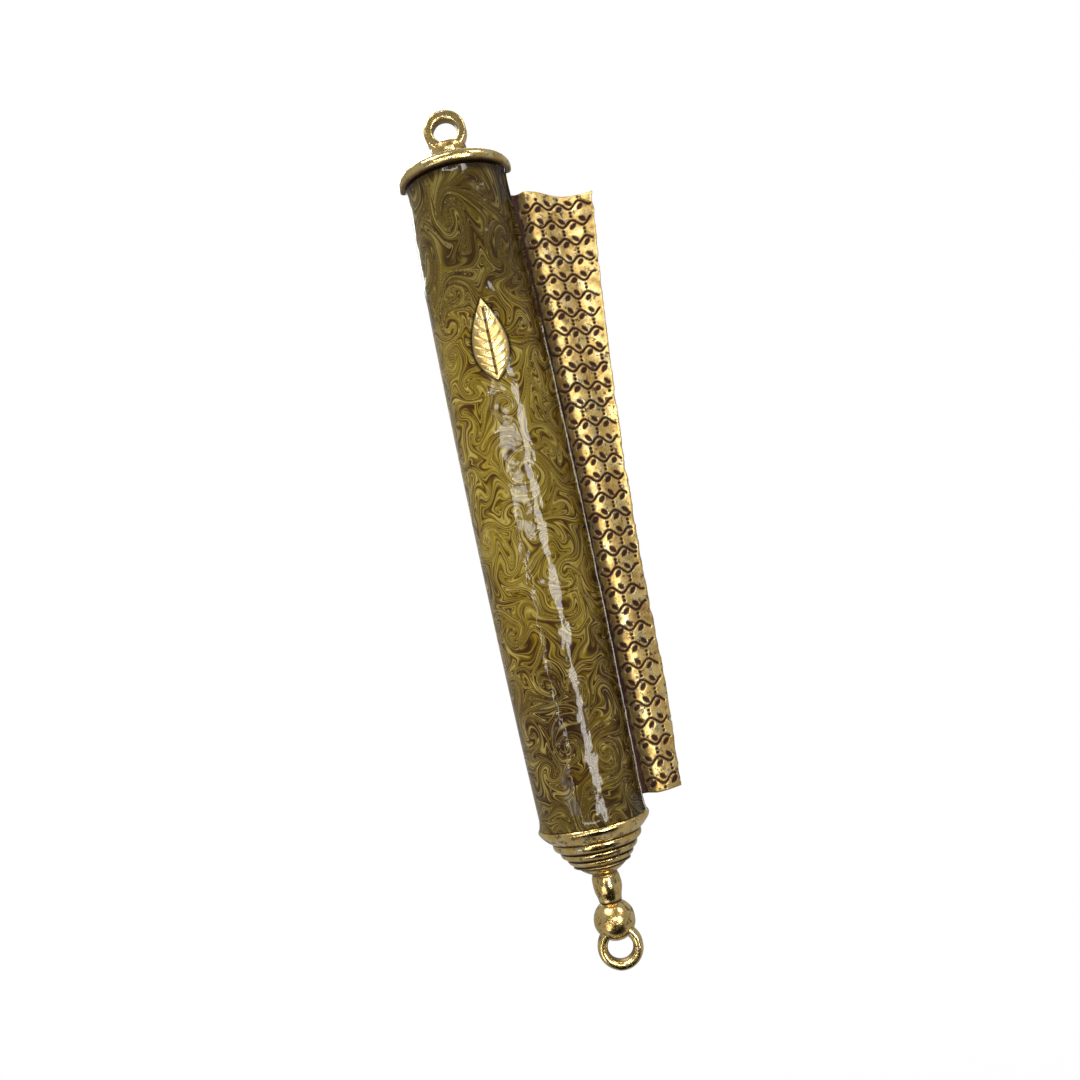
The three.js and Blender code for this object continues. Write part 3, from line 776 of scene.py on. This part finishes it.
def half_turned(name, profile, groove_dark=None, uneven=0.05, seed=1, columns=144, step=4):
    """A half-round casting from a smooth [radius, z] profile, with its flat back on the doorpost."""
    spare = (len(profile) - 1) % step
    if spare:
        more = np.linspace(0, 1, len(profile) + step - spare)
        line = np.linspace(0, 1, len(profile))
        profile = np.stack([np.interp(more, line, profile[:, k]) for k in (0, 1)], axis=1)
    turn = np.linspace(0, math.pi, columns + 1)[None, :]
    radius, z = profile[:, :1], profile[:, 1:]
    outer = np.stack([radius * np.cos(turn), -radius * np.sin(turn), z + 0 * turn], axis=-1)
    push = uneven * noise(outer, 1.7, seed=seed) * smoothstep(radius, 0.2, 1.5)
    outward = np.stack([np.cos(turn) + 0 * radius, -np.sin(turn) + 0 * radius, 0 * push], axis=-1)
    outer = outer + push[..., None] * outward
    outer[:, [0, -1], 1] = 0
    inner = coarse(outer * [1, 0, 1], step)
    dark = groove_dark(profile[:, 1]) if groove_dark is not None else np.zeros(len(profile))
    patina_and_shade = np.clip(dark[:, None] + 0 * turn, 0, 1)
    values = {"patina_and_shade": np.concatenate([patina_and_shade.ravel(), 0.2 + 0 * coarse(patina_and_shade, step).ravel()])}
    return build(name, sheet_mesh(outer, inner, step), values)


def near(places, width=0.2, depth=0.95):
    """How dark a profile is, by its closeness to each of these heights."""
    return lambda z: depth * np.clip(sum(np.exp(-(((z - p) / width) ** 2)) for p in places), 0, 1)


def make_top_cap(material):
    low, high = box("top_end_cap")
    base, top, brim = low[2], high[2], high[0]
    profile = spline([
        (0, base + 0.02), (6.6, base + 0.05), (7.3, base + 0.25), (7.9, base + 0.08),
        (brim - 0.2, base + 0.25),
        (brim - 0.02, base + 0.75), (brim - 0.08, base + 1.3), (brim - 0.45, base + 1.75), (7.3, base + 2.0),
        (6.0, base + 2.25), (4.2, top), (0, top),
    ])
    piece = half_turned("top_cap_collar", profile, near([base + 0.1], 0.3, 0.8), uneven=0.07, seed=51)
    return place(piece, "case", "antique_gold", material, "top_end_cap")


def make_top_neck(material):
    low, high = box("top_neck")
    base, top = low[2] - 0.1, high[2]
    profile = spline([
        (0, base), (3.15, base), (2.8, base + 0.4), (2.6, base + 0.9), (2.62, base + 2.0), (2.7, base + 2.7),
        (2.6, top - 0.4), (2.2, top - 0.08), (1.6, top), (0, top),
    ])
    dark = near([base + 0.15], 0.2, 0.6)
    piece = half_turned("top_neck_bead", profile, dark, uneven=0.09, seed=52, columns=96)
    return place(piece, "case", "antique_gold", material, "top_neck")


def make_bottom_cap(material):
    low, high = box("bottom_end_cap")
    base, top, brim = low[2], high[2], high[0]
    profile = spline([
        (0, base), (6.5, base), (6.5, base), (7.0, base + 0.35), (7.6, base + 0.95),
        (brim - 0.03, base + 1.6),
        (brim - 0.12, top - 0.25), (brim - 0.45, top), (0, top),
    ])
    piece = half_turned("bottom_cap_collar", profile, near([base], 0.2, 0.7), uneven=0.05, seed=53)
    return place(piece, "case", "antique_gold", material, "bottom_end_cap")


def make_cone(material):
    low, high = box("stepped_cone")
    top, bottom = high[2], low[2]
    tiers = [(6.4, top), (5.55, top - 1.4), (4.75, top - 2.6), (4.1, top - 3.65)]
    grooves = [z for _, z in tiers[1:]] + [top - 4.2]
    knots = [(0, top)]
    for i, (radius, z) in enumerate(tiers):
        below = grooves[i]
        knots += [(radius - 0.32, z - 0.02), (radius, z - 0.32)]
        knots += [(radius - 0.12, below + 0.42), (radius - 0.6, below)]
        knots.append(knots[-1])
    knots += [(3.3, top - 4.4), (2.75, bottom + 0.4), (2.1, bottom + 0.02)]
    knots += [(2.0, bottom), (2.0, bottom), (0, bottom)]
    dark = near([top, *grooves], 0.23, 1.0)
    piece = half_turned("cone_tiers", spline(knots, 6), dark, uneven=0.05, seed=54)
    return place(piece, "case", "antique_gold", material, "stepped_cone")


def make_bead(material):
    low, high = box("finial_bead")
    bottom, top = low[2], high[2]
    profile = spline([
        (0, top), (1.95, top), (1.95, top), (1.78, top - 0.3), (1.95, top - 0.75), (2.05, top - 1.8),
        (1.98, top - 2.7),
        (1.72, top - 3.6), (1.62, bottom), (1.62, bottom), (0, bottom),
    ])
    piece = half_turned("finial_bead_turned", profile, near([top - 0.25, bottom], 0.22, 0.8), 0.08, 55, 96)
    return place(piece, "case", "antique_gold", material, "finial_bead")


def make_ball(material):
    _, high = box("finial_ball")
    radius, centre = high[0], BALL_Z
    turn = np.linspace(math.asin((high[2] - centre) / radius), -math.pi / 2, 61)
    arc = np.stack([radius * np.cos(turn), centre + radius * np.sin(turn)], axis=1)
    profile = np.concatenate([[(0, high[2] + 0.1)], [(1.6, high[2] + 0.1)], arc])
    piece = half_turned("finial_ball_cast", profile, near([high[2]], 0.25, 0.8), 0.09, 56, 96)
    return place(piece, "case", "antique_gold", material, "finial_ball")


def make_ring(node, section_power, material, seed):
    """A flat-backed eye. A higher power gives a flatter face."""
    step = 4
    around = np.linspace(0, 2 * math.pi, step * 32 + 1)[:, None]
    turn = np.linspace(-0.5 * math.pi, 1.5 * math.pi, step * 14 + 1)[None, :]
    half_width = (RING_RADIUS - RING_HOLE) / 2
    middle = (RING_RADIUS + RING_HOLE) / 2
    c, s = np.cos(turn), np.sin(turn)
    square = 2 / section_power
    out = middle + half_width * np.sign(c) * np.abs(c) ** square
    depth = RING_THICKNESS * (0.5 + 0.5 * np.sign(s) * np.abs(s) ** np.where(s < 0, 0.25, square))
    x, z = out * np.cos(around), RINGS[node] + out * np.sin(around)
    points = np.stack([x, -depth + 0 * around, z], axis=-1)
    push = 0.06 * noise(points, 1.5, seed=seed) * (depth > 0.2)
    points[..., 0] += push * np.cos(around)
    points[..., 2] += push * np.sin(around)
    points[..., 1] = np.minimum(points[..., 1] - 0.5 * push, 0)
    inside = smoothstep(-c, 0.55, 0.95) + 0 * around
    vertices = points.reshape(-1, 3)
    index = np.arange(len(vertices)).reshape(points.shape[:2])
    piece = build(node + "_eye", (vertices, grid_faces(index)), {"patina_and_shade": 0.75 * inside.ravel()}, sharp=60)
    return place(piece, "case", "antique_gold", material, node)


# ---- Back plate and parchment ----

def plate_outline(inset):
    half, low, high = PLATE_HIGH[0], PLATE_LOW[2], PLATE_HIGH[2]
    corner, notch = 0.8, 1.6

    def arc(x, z, radius, start, end, count):
        turn = np.radians(np.linspace(start, end, count))
        return [(x + radius * math.cos(a), z + radius * math.sin(a)) for a in turn]

    r = corner - inset
    outline = arc(half - corner, low + corner, r, -90, 0, 8) + arc(half - corner, high - corner, r, 0, 90, 8)
    outline += arc(corner - half, high - corner, r, 90, 180, 8)
    outline += arc(corner - half, low + corner, r, 180, 270, 8)
    lip = low + inset
    outline += [(-notch - inset - 0.3, lip)]
    outline += arc(0, low, notch + inset, 170, 10, 15) + [(notch + inset + 0.3, lip)]
    return outline


def make_back_plate(material):
    front, bevel = PLATE_LOW[1], 0.09
    loops = []
    for inset, y in ((bevel, front), (0, front + bevel), (0, -bevel), (bevel, 0)):
        loops.append([(x, y, z) for x, z in plate_outline(inset)])
    piece = build("back_plate_sheet", loft_mesh(np.array(loops)), sharp=30)
    return place(piece, "rear_plate", "plate_brass", material, "back_plate")


def make_parchment(material):
    """One strip rolled up, looser towards the outside and a little telescoped at its ends."""
    centre_y = (ROLL_LOW[1] + ROLL_HIGH[1]) / 2
    core, outer_radius, pitch, thickness = 0.85, 2.28, 0.42, 0.2
    turns = (outer_radius - core) / pitch
    along = np.linspace(0, turns, 150)
    heights = np.linspace(0, 1, 60)
    loops = []
    for share in heights:
        ends = []
        for offset, line in ((0.0, along), (thickness, along[::-1])):
            angle = 2 * math.pi * line
            wave = np.stack([np.cos(angle) * 2, np.sin(angle) * 2, np.full_like(line, share * 9)], axis=-1)
            radius = core + pitch * line - offset + 0.05 * noise(wave, 2.0, seed=61, octaves=2)
            slip = 0.35 * np.sin(1.3 * line) * (1 - line / turns)
            z = ROLL_LOW[2] + 0.35 + (ROLL_HIGH[2] - ROLL_LOW[2] - 0.7) * share + slip
            ends.append(np.stack([radius * np.cos(angle), centre_y + radius * np.sin(angle), z], axis=-1))
        loops.append(np.concatenate(ends))
    piece = build("parchment_rolled", loft_mesh(np.array(loops)), sharp=50)
    return place(piece, "parchment", "parchment", material, "parchment_roll")


def make_sleeve(material):
    """A film wrapped once round the roll, with its overlapping seam, open at both ends."""
    centre_y = (SLEEVE_LOW[1] + SLEEVE_HIGH[1]) / 2
    radius, film = SLEEVE_HIGH[0] - 0.02, 0.06
    turn = np.linspace(0, 2 * math.pi * 1.08, 110)
    loops = []
    for z in np.linspace(SLEEVE_LOW[2], SLEEVE_HIGH[2], 40):
        lap = 0.09 * turn / turn[-1]
        wave = np.stack([np.cos(turn) * 2, np.sin(turn) * 2, np.full_like(turn, z * 0.2)], axis=-1)
        outside = radius - 0.09 + lap + 0.02 * noise(wave, 2.5, seed=62, octaves=1)
        edge = [np.stack([r * np.cos(a), centre_y + r * np.sin(a), np.full_like(a, z)], axis=-1)
                for r, a in ((outside, turn), (outside[::-1] - film, turn[::-1]))]
        loops.append(np.concatenate(edge))
    piece = build("parchment_film", loft_mesh(np.array(loops)), sharp=50)
    return place(piece, "parchment", "clear_film", material, "parchment_sleeve")


# ---- Studio ----

def add_camera():
    camera = bpy.data.objects.new("camera", bpy.data.cameras.new("camera"))
    bpy.context.scene.collection.objects.link(camera)
    camera.data.lens = CAMERA_LENS
    camera.data.sensor_width = CAMERA_SENSOR
    camera.data.clip_start = 0.001
    level = Matrix.Rotation(math.pi / 2, 4, "X")
    tip = Matrix.Rotation(CAMERA_TIP, 4, "X")
    roll = Matrix.Rotation(-CAMERA_ROLL, 4, "Z")
    camera.matrix_world = Matrix.Translation(Vector(CAMERA_PLACE) * MM) @ level @ tip @ roll
    bpy.context.scene.camera = camera


def add_softbox(name, place_mm, aim_mm, width, height, watts, roll=0.0, spread=160, soft=False):
    """A rectangular light. A soft one only lights surfaces, and any other only shows as a reflection."""
    light = bpy.data.lights.new(name, "AREA")
    light.shape = "RECTANGLE"
    light.size, light.size_y = width * MM, height * MM
    light.energy = watts
    light.spread = math.radians(spread)
    lamp = bpy.data.objects.new(name, light)
    bpy.context.scene.collection.objects.link(lamp)
    turn = (Vector(aim_mm) - Vector(place_mm)).to_track_quat("-Z", "Y").to_matrix().to_4x4()
    rolled = turn @ Matrix.Rotation(math.radians(roll), 4, "Z")
    lamp.matrix_world = Matrix.Translation(Vector(place_mm) * MM) @ rolled
    lamp.visible_glossy = not soft
    lamp.visible_diffuse = soft
    lamp.visible_camera = False


def add_world():
    """A white backdrop for the camera. What the object mirrors is dimmer, and darkest low in front."""
    world = bpy.data.worlds.new("studio")
    bpy.context.scene.world = world
    world.use_nodes = True
    tree = world.node_tree
    room = tree.nodes["Background"]
    backdrop = tree.nodes.new("ShaderNodeBackground")
    backdrop.inputs["Color"].default_value = (1, 1, 1, 1)
    direction = tree.nodes.new("ShaderNodeTexCoord").outputs["Generated"]

    def facing(aim, dark_at, pale_at, darkest, palest):
        towards = tree.nodes.new("ShaderNodeVectorMath")
        towards.operation = "DOT_PRODUCT"
        towards.inputs[1].default_value = Vector(aim).normalized()
        tree.links.new(direction, towards.inputs[0])
        grey = tree.nodes.new("ShaderNodeMapRange")
        grey.interpolation_type = "SMOOTHSTEP"
        for socket, value in zip(grey.inputs[1:5], (dark_at, pale_at, darkest, palest)):
            socket.default_value = value
        tree.links.new(towards.outputs["Value"], grey.inputs["Value"])
        return grey.outputs["Result"]

    strength = tree.nodes.new("ShaderNodeMath")
    strength.operation = "MULTIPLY"
    tree.links.new(facing((0, -1, 0), 0.98, 0.3, 0.18, 0.4), strength.inputs[0])
    tree.links.new(facing((0.08, -0.62, -0.78), 0.9, 0.74, 0.02, 1.0), strength.inputs[1])
    tree.links.new(strength.outputs["Value"], room.inputs["Strength"])
    room.inputs["Color"].default_value = (1, 1, 1, 1)
    rays = tree.nodes.new("ShaderNodeLightPath")
    choose = tree.nodes.new("ShaderNodeMixShader")
    tree.links.new(rays.outputs["Is Camera Ray"], choose.inputs["Fac"])
    tree.links.new(room.outputs["Background"], choose.inputs[1])
    tree.links.new(backdrop.outputs["Background"], choose.inputs[2])
    tree.links.new(choose.outputs["Shader"], tree.nodes["World Output"].inputs["Surface"])


def add_floor(material):
    turn = np.linspace(0, 2 * math.pi, 96, endpoint=False)
    rim = [(FLOOR_RADIUS * math.cos(a), FLOOR_RADIUS * math.sin(a), 0) for a in turn]
    mesh = bpy.data.meshes.new("studio_floor")
    mesh.from_pydata(rim, [], [list(range(96))])
    floor = bpy.data.objects.new("studio_floor", mesh)
    bpy.context.scene.collection.objects.link(floor)
    floor.data.materials.append(material)
    floor.location.z = -FLOOR_DROP
    floor.visible_glossy = False


def add_studio():
    bpy.context.scene.view_settings.view_transform = "Standard"
    add_camera()
    add_world()
    add_floor(pale_floor())
    middle = (0, -8, 45)
    add_softbox("strip_right", (205, -470, 42), middle, 110, 330, 1.25, roll=-14)
    add_softbox("strip_left", (-195, -470, 30), middle, 9, 220, 0.12)
    add_softbox("veil", (-50, -600, 134), middle, 360, 70, 0.7)
    add_softbox("low_left", (-290, -400, -190), middle, 240, 240, 0.35)
    add_softbox("high_left", (-230, -300, 500), middle, 420, 260, 0.4, spread=70)
    add_softbox("high_right", (380, -260, 430), middle, 220, 180, 0.12, spread=70)
    add_softbox("back_high", (-120, 460, 450), middle, 420, 420, 0.6, spread=90)
    add_softbox("fill_front", (-170, -480, 210), middle, 420, 420, 0.28, spread=70, soft=True)
    add_softbox("fill_top", (0, -100, 560), middle, 300, 300, 0.12, spread=90, soft=True)
    add_softbox("fill_back", (0, 520, 200), middle, 300, 300, 0.2, spread=90, soft=True)


# ---- Assembly ----

add_studio()
gold = antique_gold("antique_gold")
wing_gold = antique_gold("wing_gold", pits=0.9, recess=0.55, rough=0.42, stains=0.9)

make_barrel_body(gold)
make_enamel(marbled_enamel())
make_emblem(antique_gold("polished_gold", pits=0.3, recess=0.2, rough=0.26, stains=0.1))
make_wing(wing_gold)
make_top_cap(gold)
make_top_neck(gold)
make_ring("top_ring", 4.5, gold, 57)
make_bottom_cap(gold)
make_cone(gold)
make_bead(gold)
make_ball(gold)
make_ring("bottom_ring", 2.4, gold, 58)
make_back_plate(rolled_brass())
make_parchment(parchment_skin())
make_sleeve(clear_film())
